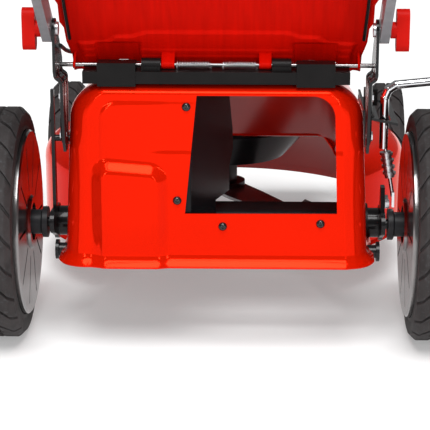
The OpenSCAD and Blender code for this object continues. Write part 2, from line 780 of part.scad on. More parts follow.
grip_bend = 60;
module handle_path(r) {
    straight = upper_len - grip_bend;
    translate([0, lower_end[0], lower_end[1]]) rotate([180 - upper_slope, 0, 0]) {
        for (s = [-1, 1]) side_of(s) {
            translate([upper_x, -18, 0]) rotate([-90, 0, 0]) cylinder(r = r, h = straight + 18);
            translate([upper_x - grip_bend, straight, 0]) rotate_extrude(angle = 90)
                translate([grip_bend, 0]) circle(r = r, $fn = 32);
        }
        bar_x(upper_len, 0, r, grip_bend - upper_x, upper_x - grip_bend);
    }
}

module upper_handle() color("darkgray") difference() {
    handle_path(upper_r);
    handle_path(upper_r - 1.6);
    bar_x(lower_end[0], lower_end[1], 4 + pin_fit, -200, 200);
    bar_x(bail_at[0], bail_at[1], 4 + pin_fit, -200, 200);
}

module handle_grip() color(BLACK) translate([0, lower_end[0], lower_end[1]])
    rotate([180 - upper_slope, 0, 0]) difference() {
        bar_x(upper_len, 0, upper_r + 4, -104, 104);
        bar_x(upper_len, 0, upper_r, -110, 110);
    }

bail_r = 4;
bail_len = 95;
module stop_bail() color(STEEL) {
    for (s = [-1, 1]) side_of(s) {
        bar_x(bail_at[0], bail_at[1], bail_r, 164, 187);
        rod([187, bail_at[0], bail_at[1]], [187, bail_at[0], bail_at[1] + bail_len], bail_r);
        for (z = [0, bail_len]) translate([187, bail_at[0], bail_at[1] + z]) sphere(r = bail_r);
    }
    bar_x(bail_at[0], bail_at[1] + bail_len, bail_r, -187, 187);
}

// A point above the left lower tube, at a distance along it from its pivot bolt
function over_tube(x, along) = [x, pivot_y - along * cos(lower_slope) + 18.6 * sin(lower_slope),
    pivot_z + along * sin(lower_slope) + 18.6 * cos(lower_slope)];

handle_stop_route = [[-154, bail_at[0] + 20, bail_at[1] - 4], [-154, lower_end[0], lower_end[1] + 12],
    over_tube(-154, 335), over_tube(-tube_x, 270), over_tube(-tube_x, 28)];
module handle_stop_cable() color(BLACK) cable(handle_stop_route);

// ---- hose nipple ----

nipple_r = 8;
nipple_at = 149.2;
module wash_nipple() color(BLACK) translate([nipple_at, bell_y + nipple_at, ring_z]) difference() {
    union() {
        cylinder(r = nipple_r + 0.9, h = 3);
        cylinder(r = nipple_r, h = 17);
        translate([0, 0, 17]) cylinder(r1 = nipple_r, r2 = nipple_r - 1.5, h = 2);
    }
    translate([0, 0, -1]) cylinder(r = 4, h = 30);
}

// ---- placement ----

module placed() translate([0, origin_y, 0]) children();

placed() deck_housing();
placed() chute_liner();
placed() axle_tunnel();
placed() chute_screws();
placed() hinge_bar();
placed() hinge_rod();
placed() flap_springs();
placed() left_handle_bracket();
placed() right_handle_bracket();
placed() bracket_bolts();
placed() height_quadrant();
placed() lever_guide_block();
placed() tie_bar();
placed() axle_bushes();
placed() wash_nipple();
placed() engine_block();
placed() cylinder_head();
placed() blower_shroud();
placed() recoil_cover();
placed() fuel_tank();
placed() muffler();
placed() air_filter();
placed() spark_plug();
placed() engine_bolts();
placed() engine_stop_cable();
placed() fuel_cap();
placed() dipstick();
placed() starter_grip();
placed() crankshaft();
placed() flywheel();
placed() blade_adapter();
placed() blade();
placed() blade_bolt();
placed() rear_flap();
placed() rear_axle();
placed() height_lever();
placed() lever_sleeve();
placed() lever_grip();
placed() link_rod();
placed() front_axle();
placed() rear_tyre(-1);  // rear_left_tyre
placed() rear_tyre(1);  // rear_right_tyre
placed() rear_rim(-1);  // rear_left_rim
placed() rear_rim(1);  // rear_right_rim
placed() dust_disc(-1);  // rear_left_dust_disc
placed() dust_disc(1);  // rear_right_dust_disc
placed() front_tyre(-1);  // front_left_tyre
placed() front_tyre(1);  // front_right_tyre
placed() front_rim(-1);  // front_left_rim
placed() front_rim(1);  // front_right_rim
placed() left_lower_handle();
placed() right_lower_handle();
placed() handle_bolts();
placed() lower_left_knob();
placed() lower_right_knob();
placed() upper_handle();
placed() handle_grip();
placed() stop_bail();
placed() handle_stop_cable();
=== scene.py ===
"""Walk-behind lawn mower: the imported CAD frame, dressed with detailed surfaces and procedural materials.

Shapes are written in millimetres from the rear axle: X to the operator's right, Y forward, Z up from the
ground. Numbers in profiles, routes and stations are the mower's own places and sizes in those millimetres.
"""

import json
import math

import bpy
import numpy as np
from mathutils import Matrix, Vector


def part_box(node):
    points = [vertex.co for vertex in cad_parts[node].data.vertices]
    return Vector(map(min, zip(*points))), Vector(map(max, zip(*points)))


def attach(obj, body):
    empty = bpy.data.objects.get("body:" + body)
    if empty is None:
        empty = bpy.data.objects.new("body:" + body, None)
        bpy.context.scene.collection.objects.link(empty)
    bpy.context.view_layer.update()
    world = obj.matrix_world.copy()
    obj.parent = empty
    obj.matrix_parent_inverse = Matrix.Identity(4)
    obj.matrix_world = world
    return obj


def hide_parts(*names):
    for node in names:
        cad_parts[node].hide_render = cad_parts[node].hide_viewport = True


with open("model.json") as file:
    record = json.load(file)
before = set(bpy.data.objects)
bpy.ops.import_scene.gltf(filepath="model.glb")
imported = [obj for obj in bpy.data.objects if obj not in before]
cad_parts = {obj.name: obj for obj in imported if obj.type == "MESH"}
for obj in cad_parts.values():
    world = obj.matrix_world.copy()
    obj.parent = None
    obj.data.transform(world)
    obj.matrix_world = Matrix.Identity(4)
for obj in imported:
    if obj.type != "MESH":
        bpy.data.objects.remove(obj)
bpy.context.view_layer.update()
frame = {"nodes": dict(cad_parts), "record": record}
NODES = frame["nodes"]
MM = 0.001
SPEC = "Specular IOR Level"

# The rear axle's place, from the middle of a rear tyre's box
tyre_low, tyre_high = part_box("rear_left_tyre")
ORIGIN = np.array([0.0, (tyre_low[1] / MM + tyre_high[1] / MM) / 2, 0.0])


def box_mm(node):
    """The lowest and highest corner of a CAD node, in millimetres from the rear axle."""
    low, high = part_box(node)
    return np.array(low) / MM - ORIGIN, np.array(high) / MM - ORIGIN


def row(points):
    """Millimetres from the rear axle to metres in the row frame."""
    return (np.asarray(points, float) + ORIGIN) * MM


# ---------------------------------------------------------------- camera, light and floor

CAMERA_AT = [50.0, -1900.0, 695.0]
CAMERA_TILT = math.radians(74.0)
CAMERA_TURN = math.radians(1.6)
LENS = 136.3


def make_camera():
    """The photograph's view: low behind the mower, a long lens looking slightly down and to the left."""
    data = bpy.data.cameras.new("camera")
    data.lens = LENS
    data.sensor_width = 36.0
    data.clip_start = 0.05
    camera = bpy.data.objects.new("camera", data)
    camera.location = row(CAMERA_AT)
    camera.rotation_euler = (CAMERA_TILT, 0.0, CAMERA_TURN)
    bpy.context.scene.collection.objects.link(camera)
    bpy.context.scene.camera = camera


STRIP_SIZE = (0.07, 1.4)
STRIP_POWER = 15.0
FLOOR_HALF = 30.0
FLOOR_Z = -0.0005


def strip_light(name, place, target):
    """A tall soft box, placed and aimed in metres of the row frame, which gives the upright highlights."""
    data = bpy.data.lights.new(name, "AREA")
    data.energy = STRIP_POWER
    data.shape = "RECTANGLE"
    data.size, data.size_y = STRIP_SIZE
    light = bpy.data.objects.new(name, data)
    light.location = place
    light.rotation_euler = (Vector(target) - Vector(place)).to_track_quat("-Z", "Y").to_euler()
    bpy.context.scene.collection.objects.link(light)


def make_studio():
    """A white surround, one broad soft light from above and behind, and a soft box on each side."""
    world = bpy.data.worlds.new("studio")
    bpy.context.scene.world = world
    world.use_nodes = True
    back = world.node_tree.nodes["Background"]
    back.inputs["Color"].default_value = (1.0, 1.0, 1.0, 1.0)
    back.inputs["Strength"].default_value = 0.21
    bpy.context.scene.view_settings.view_transform = "Standard"
    sky = bpy.data.lights.new("sky_panel", "SUN")
    sky.energy = 3.35
    sky.angle = math.radians(36.0)
    panel = bpy.data.objects.new("sky_panel", sky)
    panel.rotation_euler = (math.radians(30.0), 0.0, 0.0)
    bpy.context.scene.collection.objects.link(panel)
    strip_light("left_box", (-1.0, -2.6, 1.0), (-0.15, -0.1, 0.3))
    strip_light("right_box", (1.1, -2.5, 1.0), (0.15, -0.1, 0.3))


def make_floor():
    """A plain pale floor just under the wheels; a little emission keeps it white."""
    mesh = bpy.data.meshes.new("floor")
    corners = [(x * FLOOR_HALF, y * FLOOR_HALF, FLOOR_Z) for x, y in ((-1, -1), (1, -1), (1, 1), (-1, 1))]
    mesh.from_pydata(corners, [], [(0, 1, 2, 3)])
    floor = bpy.data.objects.new("floor", mesh)
    bpy.context.scene.collection.objects.link(floor)
    glow = {"Emission Color": (1, 1, 1, 1), "Emission Strength": 0.3, SPEC: 0.1}
    pale = make_material("floor_pale", (0.72, 0.72, 0.72), 0.8, vary=0.01, scale=3.0, sockets=glow)
    mesh.materials.append(pale)


# ---------------------------------------------------------------- materials

DARK_BASE = 0.04


def make_material(name, base, rough, metallic=0.0, coat=0.0, vary=0.08, scale=45.0, rough_vary=0.06,
                  bump=0.0, bump_scale=500.0, stretch=(1.0, 1.0, 1.0), wear=None, speck=None, sockets=None):
    """A procedural finish: mottled colour and roughness, fine relief, flecks and worn edges.

    speck is (colour, noise scale), and wear is the colour of the worn edges. Scales are noise cells per
    metre, and stretch multiplies them along X, Y and Z.
    """
    mat = bpy.data.materials.new(name)
    mat.use_nodes = True
    tree = mat.node_tree
    shader = tree.nodes["Principled BSDF"]
    shader.inputs["Metallic"].default_value = metallic
    shader.inputs["Coat Weight"].default_value = coat
    shader.inputs["Coat Roughness"].default_value = 0.04
    shader.inputs[SPEC].default_value = 0.14 if max(base) < DARK_BASE else 0.4
    for socket, value in (sockets or {}).items():
        shader.inputs[socket].default_value = value
    coords = tree.nodes.new("ShaderNodeTexCoord")
    mapping = tree.nodes.new("ShaderNodeMapping")
    mapping.inputs["Scale"].default_value = stretch
    tree.links.new(coords.outputs["Object"], mapping.inputs["Vector"])

    def noise(noise_scale, detail=4.0):
        node = tree.nodes.new("ShaderNodeTexNoise")
        node.inputs["Scale"].default_value = noise_scale
        node.inputs["Detail"].default_value = detail
        tree.links.new(mapping.outputs["Vector"], node.inputs["Vector"])
        return node.outputs["Fac"]

    def ramp(factor, stops):
        node = tree.nodes.new("ShaderNodeValToRGB")
        elements = node.color_ramp.elements
        for k, (place, colour) in enumerate(stops):
            element = elements[k] if k < 2 else elements.new(place)
            element.position = place
            element.color = (*colour, 1.0)
        tree.links.new(factor, node.inputs["Fac"])
        return node.outputs["Color"]

    def mix(factor, first, second):
        node = tree.nodes.new("ShaderNodeMix")
        node.data_type = "RGBA"
        tree.links.new(factor, node.inputs[0])
        tree.links.new(first, node.inputs[6])
        if isinstance(second, tuple):
            node.inputs[7].default_value = (*second, 1.0)
        else:
            tree.links.new(second, node.inputs[7])
        return node.outputs[2]

    dark = tuple(c * (1.0 - vary) for c in base)
    light = tuple(min(1.0, c * (1.0 + vary)) for c in base)
    colour = ramp(noise(scale), [(0.3, dark), (0.7, light)])
    if speck:
        fleck = ramp(noise(speck[1], 2.0), [(0.58, (0, 0, 0)), (0.72, (1, 1, 1))])
        colour = mix(fleck, colour, speck[0])
    if wear:
        geometry = tree.nodes.new("ShaderNodeNewGeometry")
        edge = ramp(geometry.outputs["Pointiness"], [(0.53, (0, 0, 0)), (0.62, (0.8, 0.8, 0.8))])
        colour = mix(edge, colour, wear)
    tree.links.new(colour, shader.inputs["Base Color"])
    spread = tree.nodes.new("ShaderNodeMapRange")
    spread.inputs["To Min"].default_value = max(0.02, rough - rough_vary)
    spread.inputs["To Max"].default_value = min(1.0, rough + rough_vary)
    tree.links.new(noise(scale * 1.7), spread.inputs["Value"])
    tree.links.new(spread.outputs["Result"], shader.inputs["Roughness"])
    if bump:
        relief = tree.nodes.new("ShaderNodeBump")
        relief.inputs["Strength"].default_value = bump
        relief.inputs["Distance"].default_value = 0.0004
        tree.links.new(noise(bump_scale, 3.0), relief.inputs["Height"])
        tree.links.new(relief.outputs["Normal"], shader.inputs["Normal"])
    return mat


RED_CAP = dict(base=(0.46, 0.005, 0.002), rough=0.42, vary=0.07, bump=0.12, bump_scale=900,
               sockets={SPEC: 0.06})
SMALL_BLACK = dict(base=(0.012, 0.012, 0.013), rough=0.4, vary=0.2, bump=0.15)
FINISHES = {
    "deck_paint": dict(base=(0.72, 0.0105, 0.0006), rough=0.12, rough_vary=0.03, metallic=0.42, vary=0.03,
                       scale=9, bump=0.04, bump_scale=160,
                       sockets={SPEC: 0.11, "Specular Tint": (1.0, 0.45, 0.36, 1.0)}),
    # deck_inner is a darker copy of deck_paint for the sheet's inner faces: painted shade inside the housing
    # and chute.
    "deck_inner": dict(base=(0.40, 0.006, 0.0008), rough=0.2, rough_vary=0.05, vary=0.12, scale=12,
                       bump=0.06, bump_scale=160, sockets={SPEC: 0.8}),
    "flap_plastic": dict(base=(0.50, 0.0030, 0.0004), rough=0.45, vary=0.1, scale=34, stretch=(5, 1, 0.25),
                         bump=0.2, bump_scale=120,
                         sockets={SPEC: 0.06, "Specular Tint": (1.0, 0.4, 0.35, 1.0)}),
    "knob_red": RED_CAP,
    "cap_red": RED_CAP,
    "liner_plastic": dict(base=(0.007, 0.007, 0.008), rough=0.24, vary=0.3, scale=20, bump=0.08,
                          bump_scale=300),
    "tunnel_plastic": dict(base=(0.010, 0.010, 0.011), rough=0.45, vary=0.3, bump=0.2, bump_scale=900),
    "screw_black": dict(base=(0.008, 0.008, 0.008), rough=0.22, vary=0.2, bump=0.1, sockets={SPEC: 0.5}),
    "hinge_black": dict(base=(0.0045, 0.0038, 0.0038), rough=0.4, vary=0.25, bump=0.25, bump_scale=1100),
    "bracket_black": dict(base=(0.006, 0.006, 0.007), rough=0.2, coat=0.35, vary=0.2, bump=0.05),
    "axle_black": dict(base=(0.007, 0.007, 0.008), rough=0.3, coat=0.25, vary=0.25, bump=0.06),
    "bush_plastic": SMALL_BLACK,
    "nipple_plastic": SMALL_BLACK,
    "rod_steel": dict(base=(0.26, 0.25, 0.25), rough=0.24, metallic=1.0, vary=0.15, scale=90),
    "spring_steel": dict(base=(0.42, 0.41, 0.42), rough=0.2, metallic=1.0, vary=0.1, scale=200),
    "zinc_bolts": dict(base=(0.62, 0.62, 0.64), rough=0.3, metallic=1.0, vary=0.16, scale=160, bump=0.1),
    "lever_chrome": dict(base=(0.74, 0.74, 0.76), rough=0.11, metallic=1.0, vary=0.06, scale=60),
    "disc_silver": dict(base=(0.27, 0.26, 0.26), rough=0.2, metallic=1.0, vary=0.08, scale=40, bump=0.03),
    "tube_silver": dict(base=(0.33, 0.34, 0.36), rough=0.34, metallic=0.65, vary=0.07, scale=120, bump=0.08,
                        bump_scale=1500, coat=0.2),
    "tyre_rubber": dict(base=(0.034, 0.030, 0.030), rough=0.62, vary=0.22, scale=60, bump=0.5, bump_scale=900,
                        wear=(0.075, 0.075, 0.08), speck=((0.05, 0.05, 0.052), 260)),
    "rear_rim_plastic": dict(base=(0.020, 0.020, 0.022), rough=0.36, vary=0.2, bump=0.18, bump_scale=1000),
    "front_rim_plastic": dict(base=(0.42, 0.42, 0.44), rough=0.35, metallic=0.3, vary=0.06, bump=0.1),
    "engine_alloy": dict(base=(0.42, 0.42, 0.43), rough=0.48, metallic=0.9, vary=0.16, bump=0.8,
                         bump_scale=700, speck=((0.2, 0.2, 0.2), 300)),
    "shroud_plastic": dict(base=(0.014, 0.014, 0.015), rough=0.42, vary=0.2, bump=0.45, bump_scale=1400),
    "recoil_plastic": dict(base=(0.018, 0.018, 0.019), rough=0.36, vary=0.2, bump=0.35, bump_scale=1200),
    "tank_plastic": dict(base=(0.020, 0.020, 0.021), rough=0.33, vary=0.2, bump=0.25, bump_scale=600),
    "muffler_steel": dict(base=(0.16, 0.15, 0.14), rough=0.48, metallic=0.85, vary=0.3, scale=30, bump=0.3,
                          speck=((0.16, 0.09, 0.05), 90)),
    "filter_plastic": dict(base=(0.016, 0.016, 0.017), rough=0.44, vary=0.2, bump=0.4, bump_scale=1300),
    "plug_ceramic": dict(base=(0.75, 0.74, 0.70), rough=0.18, vary=0.05, coat=0.5),
    "cable_sheath": dict(base=(0.012, 0.012, 0.013), rough=0.38, vary=0.2, bump=0.15, bump_scale=700),
    "dipstick_plastic": dict(base=(0.015, 0.015, 0.016), rough=0.35, vary=0.2, bump=0.2),
    "grip_plastic": dict(base=(0.014, 0.014, 0.015), rough=0.5, vary=0.2, bump=0.5, bump_scale=900),
    "lever_grip_plastic": dict(base=(0.014, 0.014, 0.015), rough=0.46, vary=0.2, bump=0.4, bump_scale=900),
    "foam_black": dict(base=(0.016, 0.016, 0.017), rough=0.85, vary=0.3, scale=300, bump=1.0,
                       bump_scale=1400),
    "shaft_steel": dict(base=(0.5, 0.5, 0.51), rough=0.26, metallic=1.0, vary=0.12, stretch=(1, 1, 9),
                        bump=0.1),
    "flywheel_iron": dict(base=(0.2, 0.2, 0.21), rough=0.45, metallic=0.9, vary=0.2, bump=0.5),
    "adapter_iron": dict(base=(0.05, 0.05, 0.052), rough=0.4, metallic=0.7, vary=0.3, bump=0.4),
    "blade_steel": dict(base=(0.012, 0.012, 0.013), rough=0.2, coat=0.6, vary=0.3, scale=25, bump=0.08,
                        wear=(0.3, 0.3, 0.31)),
}
MATERIALS = {}


def finish(slot):
    """The material of a slot, made at its first use."""
    if slot not in MATERIALS:
        MATERIALS[slot] = make_material(slot, **FINISHES[slot])
    return MATERIALS[slot]


# ---------------------------------------------------------------- mesh helpers


def smooth(t):
    """A soft step from 0 to 1 as t goes from 0 to 1."""
    t = np.clip(t, 0.0, 1.0)
    return t * t * (3.0 - 2.0 * t)


def grid_faces(rows, columns, wrap=False, keep=None):
    """Quads of a rows x columns grid; keep is a mask of the cells that stay."""
    cells = columns if wrap else columns - 1
    faces = []
    for i in range(rows - 1):
        for j in range(cells):
            if keep is None or keep[i, j]:
                k = (j + 1) % columns
                faces.append((i * columns + j, i * columns + k, (i + 1) * columns + k, (i + 1) * columns + j))
    return faces


def joined(parts):
    """One vertex array and face list from several."""
    verts, faces, base = [], [], 0
    for part_verts, part_faces in parts:
        verts.append(np.asarray(part_verts, float))
        faces += [tuple(k + base for k in face) for face in part_faces]
        base += len(part_verts)
    return np.concatenate(verts), faces


def piece(name, parts, slot, body, cads=(), sheet=0.0, offset=-1.0, bevel=0.0, sharp=35.0, inner=None):
    """A visible piece from grids and prisms, riding on a body and standing for the CAD nodes in cads.

    sheet is the thickness given to open surfaces and bevel rounds edges, both in millimetres. inner is the
    slot of the sheet's other face. Edges that turn by more than sharp degrees stay sharp in shading.
    """
    verts, faces = joined(parts)
    mesh = bpy.data.meshes.new(name)
    mesh.from_pydata(row(verts).tolist(), [], faces)
    mesh.validate()
    obj = bpy.data.objects.new(name, mesh)
    bpy.context.scene.collection.objects.link(obj)
    for finish_name in (slot, inner) if inner else (slot,):
        mesh.materials.append(finish(finish_name))
    if sheet:
        modifier = obj.modifiers.new("sheet", "SOLIDIFY")
        modifier.thickness = sheet * MM
        modifier.offset = offset
        modifier.material_offset = 1 if inner else 0
    if bevel:
        modifier = obj.modifiers.new("bevel", "BEVEL")
        modifier.width = bevel * MM
        modifier.segments = 3
        modifier.limit_method = "ANGLE"
    if obj.modifiers:
        bpy.context.view_layer.update()
        final = bpy.data.meshes.new_from_object(obj.evaluated_get(bpy.context.evaluated_depsgraph_get()))
        obj.modifiers.clear()
        obj.data = final
    obj.data.polygons.foreach_set("use_smooth", np.ones(len(obj.data.polygons), bool))
    obj.data.set_sharp_from_angle(angle=math.radians(sharp))
    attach(obj, body)
    if cads:
        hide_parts(*cads)


def prism_x(outline, x0, x1):
    """A prism along X with its outline given as (y, z) points."""
    outline = np.asarray(outline, float)
    count = len(outline)
    verts = [(x, y, z) for x in (x0, x1) for y, z in outline]
    faces = [tuple(range(count)), tuple(range(2 * count - 1, count - 1, -1))]
    faces += [(j, j + count, (j + 1) % count + count, (j + 1) % count) for j in range(count)]
    return np.array(verts), faces


def tube(path, radius, sides):
    """A round bar along a path, with closed ends."""
    path = np.asarray(path, float)
    tangent = np.gradient(path, axis=0)
    tangent /= np.linalg.norm(tangent, axis=1)[:, None]
    any_other_way = [0.31, 0.52, 0.79]
    side = np.cross(tangent[0], any_other_way)
    verts = []
    angles = np.arange(sides) * 2.0 * math.pi / sides
    for point, along in zip(path, tangent):
        side = side - along * side.dot(along)
        side /= np.linalg.norm(side)
        other = np.cross(along, side)
        verts.append(point + radius * (np.outer(np.cos(angles), side) + np.outer(np.sin(angles), other)))
    verts = np.concatenate(verts)
    faces = grid_faces(len(path), sides, wrap=True)
    faces += [tuple(range(sides)), tuple(range(len(verts) - 1, len(verts) - sides - 1, -1))]
    return verts, faces


def rounded_path(corners, radius, steps):
    """A polyline whose corners are replaced by smooth bends that start radius away from each corner."""
    corners = np.asarray(corners, float)
    path = [corners[0]]
    for before, corner, after in zip(corners[:-2], corners[1:-1], corners[2:]):
        back, ahead = before - corner, after - corner
        reach = min(radius, np.linalg.norm(back) * 0.48, np.linalg.norm(ahead) * 0.48)
        start = corner + back / np.linalg.norm(back) * reach
        end = corner + ahead / np.linalg.norm(ahead) * reach
        for t in np.linspace(0.0, 1.0, steps):
            path.append((1 - t) ** 2 * start + 2 * t * (1 - t) * corner + t * t * end)
    path.append(corners[-1])
    return np.array(path)


def lathe(profile, centre, steps):
    """A surface turned around an upright line through centre; profile points are (radius, height)."""
    angles = np.arange(steps) * 2.0 * math.pi / steps
    verts = []
    for r, height in profile:
        verts.append(np.stack([r * np.cos(angles), r * np.sin(angles), np.full(steps, height)], 1))
    return np.concatenate(verts) + np.asarray(centre, float), grid_faces(len(profile), steps, wrap=True)


# ---------------------------------------------------------------- deck

WALL_Y = -75.0
BOX_BASE = 110.0
BOX_END = 214.0
EDGE_R = 26.0
TOP_EDGE_R = 10.5
CORNER_R = 44.0
BELL_Y = 330.0
BELL_R = 250.0
BELL_TOP = 205.0
SHEET = 2.0
TOP_POINTS = 90
WALL_RINGS = 76
OPENING_CENTRE = np.array([52.0, 243.0])
OPENING_R = 26.0
OPENING_ARC = [(111 + OPENING_R * math.cos(a), 287 + OPENING_R * math.sin(a))
               for a in np.radians(np.linspace(90.0, 0.0, 13))]
OPENING = [(-22.0, 313.0)] + OPENING_ARC + [(141.0, 174.0), (-36.0, 173.0)]
SCREWS = ((-34.0, 300.0), (-45.0, 189.0), (8.0, 158.0), (122.0, 162.0))
SCREW_HEAD = [(5.1, 0.5), (5.1, -0.5), (4.7, -1.7), (3.7, -2.8), (2.3, -3.5), (1.6, -3.6), (1.5, -2.2),
              (0.05, -2.2)]


def bell_height(x, y):
    """Height of the round housing's outside above a point, or 0 outside it."""
    r = np.hypot(x, y - BELL_Y)
    shoulder = 150.0 + np.sqrt(np.clip(30.0 ** 2 - (r - 220.0) ** 2, 0.0, None))
    cone = BELL_TOP - (r - 184.0) * 25.0 / 18.0
    height = np.select([r < 184.0, r < 202.0, r < 220.0], [BELL_TOP, cone, 180.0], shoulder)
    return np.where(r > BELL_R, 0.0, height)


def box_section(y):
    """(half width at the top, half width at the base, top height, corner radius) of the chute box at y."""
    half_top = np.interp(y, [-60, 60, 205], [171, 166, 150])
    half_base = np.interp(y, [-60, 150, 205], [179, 179, 165])
    top = np.interp(y, [-60, 52, 62, 72, 82, 205], [325, 319.5, 318, 313, 306, 202])
    corner = np.interp(y, [60, 205], [CORNER_R, 22])
    return half_top, half_base, top, corner


def box_outline(y, inset):
    """The box's section at y: X and Z from the base on the left, over the top and back below.

    The last value is how many of the points come before the way back.
    """
    half_top, half_base, top, corner = box_section(y)
    spring = top - corner
    z_side = BOX_BASE + (spring - BOX_BASE) * np.linspace(0.0, 1.0, 64) ** 1.25
    half = half_base + (half_top - half_base) * (z_side - BOX_BASE) / (spring - BOX_BASE) - inset
    top_inset = inset * TOP_EDGE_R / EDGE_R
    turn = np.radians(np.linspace(0.0, 90.0, 18))[1:-1]
    corner_x = half_top - corner + (corner - inset) * np.cos(turn)
    corner_z = spring + (corner - top_inset) * np.sin(turn)
    top_x = np.linspace(-(half_top - corner), half_top - corner, TOP_POINTS)
    top_z = np.full(TOP_POINTS, top - top_inset)
    x = np.concatenate([-half, -corner_x, top_x, corner_x[::-1], half[::-1]])
    z = np.concatenate([z_side, corner_z, top_z, corner_z[::-1], z_side[::-1]])
    low_x = np.linspace(half[0], -half[0], TOP_POINTS + 2)[1:-1]
    return np.append(x, low_x), np.append(z, np.full(TOP_POINTS, BOX_BASE)), len(x)


def lip(z, y):
    """How far the lower edge flares outward."""
    return 9.0 * np.clip((124.0 - z) / 14.0, 0.0, 1.0) ** 1.8 * (1.0 - smooth((y - 60.0) / 30.0))


def box_distance(x, z, x0, x1, z0, z1, r):
    """Signed distance to a rectangle with corners of radius r, negative inside."""
    dx = np.abs(x - (x0 + x1) / 2) - (x1 - x0) / 2 + r
    dz = np.abs(z - (z0 + z1) / 2) - (z1 - z0) / 2 + r
    return np.hypot(np.maximum(dx, 0), np.maximum(dz, 0)) + np.minimum(np.maximum(dx, dz), 0) - r


def wall_relief(x, z):
    """Pressed shapes of the rear wall, positive towards the rear."""
    slant = (x + 100.0) * 0.08
    pad = smooth((7.0 - box_distance(x, z + slant, -141, -60, 60, 230, 18)) / 17.0)
    pad = pad * (1.0 - 0.55 * smooth((165.0 - z) / 55.0))
    panel = smooth((2.0 - box_distance(x, z, -134, 160, 60, 305, 20)) / 5.0)
    shelf = smooth((z - 244.0) / 5.0) * smooth((x + 96.0) / 44.0)
    return 9.0 * pad + 1.4 * panel - 1.0 * shelf * panel


def trim(grid, depth):
    """Drops the cells inside another shape, where depth is above 0, and slides the cut's edge to depth 0."""
    inside = depth > 0
    placed = ~inside
    edge = grid.copy()
    rows = np.arange(len(grid))
    for down, across in ((0, 1), (0, -1), (1, 0), (-1, 0), (1, 1), (1, -1), (-1, 1), (-1, -1)):
        near = np.clip(rows + down, 0, len(grid) - 1)
        other = np.roll(grid[near], -across, 1)
        other_depth = np.roll(depth[near], -across, 1)
        slide = ~placed & (other_depth <= 0)
        share = depth[slide] / (depth[slide] - other_depth[slide])
        edge[slide] = grid[slide] + (other[slide] - grid[slide]) * share[:, None]
        placed |= slide
    cell = inside & np.roll(inside, -1, 1)
    return edge, ~(cell[:-1] & cell[1:])


def ray_hit(direction, outline):
    """Distance from the opening's centre to its edge along a direction, in lengths of that direction."""
    best = np.inf
    for (x0, z0), (x1, z1) in zip(outline, outline[1:] + outline[:1]):
        edge = np.array([x1 - x0, z1 - z0])
        start = np.array([x0, z0]) - OPENING_CENTRE
        cross = direction[0] * edge[1] - direction[1] * edge[0]
        if abs(cross) < 1e-9:
            continue
        t = (start[0] * edge[1] - start[1] * edge[0]) / cross
        s = (start[0] * direction[1] - start[1] * direction[0]) / cross
        if t > 0 and -1e-9 <= s <= 1 + 1e-9:
            best = min(best, t)
    return best


def chute_part():
    """The rear wall from its opening outward, round its edge, and the box's sides and top forward of it."""
    rings = []
    x, z, sides = box_outline(WALL_Y, EDGE_R)
    outer = np.stack([x, z], 1)
    rays = outer - OPENING_CENTRE
    inner = np.array([OPENING_CENTRE + ray * ray_hit(ray, OPENING) for ray in rays])
    for corner in OPENING:
        nearest = np.argmin(np.hypot(*(inner - corner).T))
        inner[nearest] = corner
    for t in np.linspace(0.0, 1.0, WALL_RINGS):
        px, pz = (inner + (outer - inner) * t).T
        rings.append(np.stack([px, WALL_Y - wall_relief(px, pz) - lip(pz, WALL_Y), pz], 1))
    for angle in np.radians(np.linspace(0.0, 90.0, 10))[1:]:
        x, z, sides = box_outline(WALL_Y + EDGE_R, EDGE_R * (1.0 - math.sin(angle)))
        y = np.full(len(x), WALL_Y + EDGE_R * (1.0 - math.cos(angle)))
        flare = lip(z, y)
        rings.append(np.stack([x + np.sign(x) * flare * math.sin(angle), y - flare * math.cos(angle), z], 1))
    roof_bend = [57, 62, 67, 72, 77, 82]
    for station in np.concatenate([np.linspace(-44, 52, 13), roof_bend, np.linspace(90, BOX_END, 32)]):
        x, z, sides = box_outline(station, 0.0)
        rings.append(np.stack([x + np.sign(x) * lip(z, station), np.full(len(x), station), z], 1))
    verts = np.concatenate(rings)
    count = len(x)
    grid = verts.reshape(len(rings), count, 3)
    grid, keep = trim(grid, bell_height(grid[..., 0], grid[..., 1]) - 3.0 - grid[..., 2])
    keep[WALL_RINGS - 1:, sides - 1:] = False
    return grid.reshape(-1, 3), grid_faces(len(rings), count, wrap=True, keep=keep)


def housing_part():
    """The round housing, cut where the chute box joins it."""
    shoulder = [(220 + 30 * math.cos(a), 150 + 30 * math.sin(a)) for a in np.radians(np.linspace(0, 90, 9))]
    profile = [(255.0, 63.5), (253.5, 62.8), (251.0, 63.5), (BELL_R, 66.0)]
    profile += [(BELL_R, h) for h in range(74, 150, 8)]
    profile += shoulder + [(212.0, 180.0), (204.5, 180.2), (201.5, 181.5), (199.5, 184.0), (186.5, 201.5),
                           (184.5, 204.0), (181.5, BELL_TOP)]
    profile += [(r, BELL_TOP) for r in (*range(172, 51, -12), 42, 34)]
    steps = 256
    bell_verts, _ = lathe(profile, (0.0, BELL_Y, 0.0), steps)
    bell = bell_verts.reshape(len(profile), steps, 3)
    half_top, half_base, top, corner = box_section(bell[..., 1])
    share = np.clip((bell[..., 2] - BOX_BASE) / (top - corner - BOX_BASE), 0.0, 1.0)
    half = half_base + (half_top - half_base) * share
    depth = np.minimum(half - 3.0 - np.abs(bell[..., 0]), top - 3.0 - bell[..., 2])
    bell, keep = trim(bell, np.minimum(depth, 208.0 - bell[..., 1]))
    return bell.reshape(-1, 3), grid_faces(len(profile), steps, wrap=True, keep=keep)


